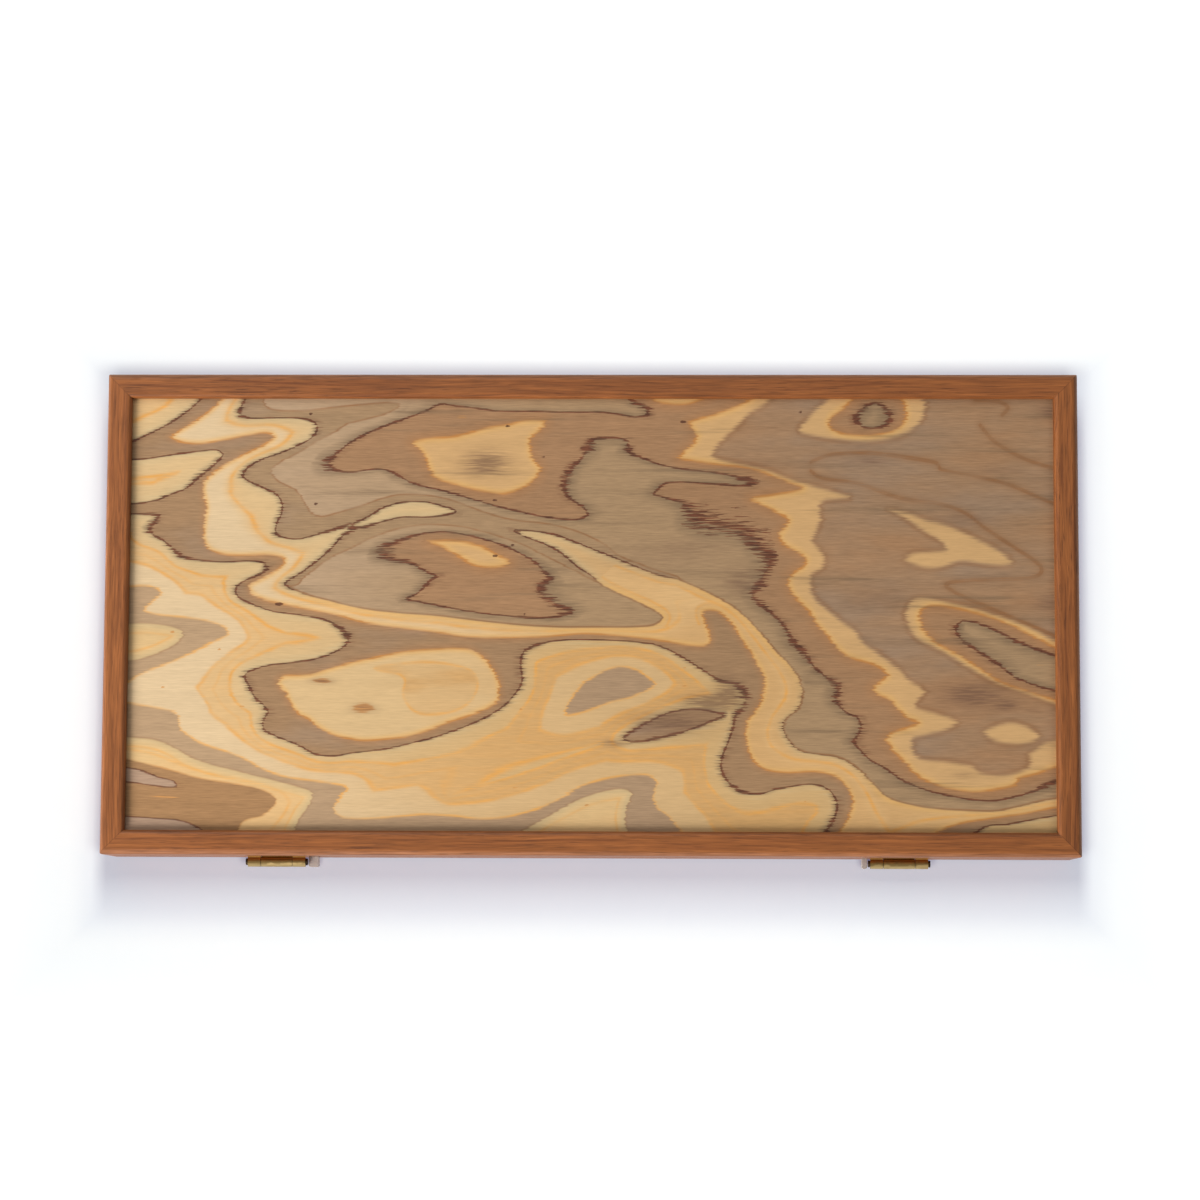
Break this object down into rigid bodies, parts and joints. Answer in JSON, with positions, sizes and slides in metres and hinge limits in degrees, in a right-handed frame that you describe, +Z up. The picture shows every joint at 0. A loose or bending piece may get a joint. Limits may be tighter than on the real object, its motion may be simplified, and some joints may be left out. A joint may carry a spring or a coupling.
{
  "type": "folding backgammon board",
  "caption": "Closed wooden folding backgammon case with mitred frame, figured veneer panels, brass butt hinges, inlaid playing field, checkers and dice inside.",
  "frame": {"origin": "on the surface the closed case lies on, under the middle of its outline with the hinges", "axes": "+X along the hinges, +Y from the spine to the opening side, +Z up"},
  "size_m": [0.48, 0.2433, 0.05],
  "materials": {
    "frame_wood": "satin varnish",
    "plywood": "raw",
    "figured_veneer": "satin varnish",
    "field_veneer": "satin varnish",
    "dark_inlay": "satin varnish",
    "light_inlay": "satin varnish",
    "hinge_brass": "aged polish",
    "screw_brass": "polished",
    "pin_steel": "darkened",
    "magnet": "plated",
    "clear_rubber": "clear",
    "dark_checker": "satin varnish",
    "light_checker": "satin varnish",
    "die": "gloss"
  },
  "bodies": {
    "base": {"base_front_rail": "frame_wood", "base_spine_rail": "frame_wood", "base_left_rail": "frame_wood", "base_right_rail": "frame_wood", "base_panel": "plywood", "base_veneer": "figured_veneer", "base_field": "field_veneer", "base_dark_points": "dark_inlay", "base_light_points": "light_inlay", "base_hinge_screws": "screw_brass", "base_magnets": "magnet", "left_base_leaf": "hinge_brass", "left_hinge_pin": "pin_steel", "right_base_leaf": "hinge_brass", "right_hinge_pin": "pin_steel", "spine_bumpers": "clear_rubber", "dice": "die", "light_checker_01": "light_checker", "light_checker_02": "light_checker", "light_checker_03": "light_checker", "light_checker_04": "light_checker", "light_checker_05": "light_checker", "light_checker_06": "light_checker", "light_checker_07": "light_checker", "light_checker_08": "light_checker", "light_checker_09": "light_checker", "light_checker_10": "light_checker", "light_checker_11": "light_checker", "light_checker_12": "light_checker", "light_checker_13": "light_checker", "light_checker_14": "light_checker", "light_checker_15": "light_checker", "dark_checker_01": "dark_checker", "dark_checker_02": "dark_checker", "dark_checker_03": "dark_checker", "dark_checker_04": "dark_checker", "dark_checker_05": "dark_checker", "dark_checker_06": "dark_checker", "dark_checker_07": "dark_checker", "dark_checker_08": "dark_checker", "dark_checker_09": "dark_checker", "dark_checker_10": "dark_checker", "dark_checker_11": "dark_checker", "dark_checker_12": "dark_checker", "dark_checker_13": "dark_checker", "dark_checker_14": "dark_checker", "dark_checker_15": "dark_checker"},
    "lid": {"lid_front_rail": "frame_wood", "lid_spine_rail": "frame_wood", "lid_left_rail": "frame_wood", "lid_right_rail": "frame_wood", "lid_panel": "plywood", "lid_veneer": "figured_veneer", "lid_field": "field_veneer", "lid_dark_points": "dark_inlay", "lid_light_points": "light_inlay", "lid_hinge_screws": "screw_brass", "lid_magnets": "magnet", "left_lid_leaf": "hinge_brass", "right_lid_leaf": "hinge_brass"}
  },
  "joints": [
    {"name": "lid_hinge", "type": "hinge", "parent": "base", "child": "lid", "pos_m": [0, -0.11915, 0.025], "axis": [1, 0, 0], "range_deg": [0, 180]}
  ]
}
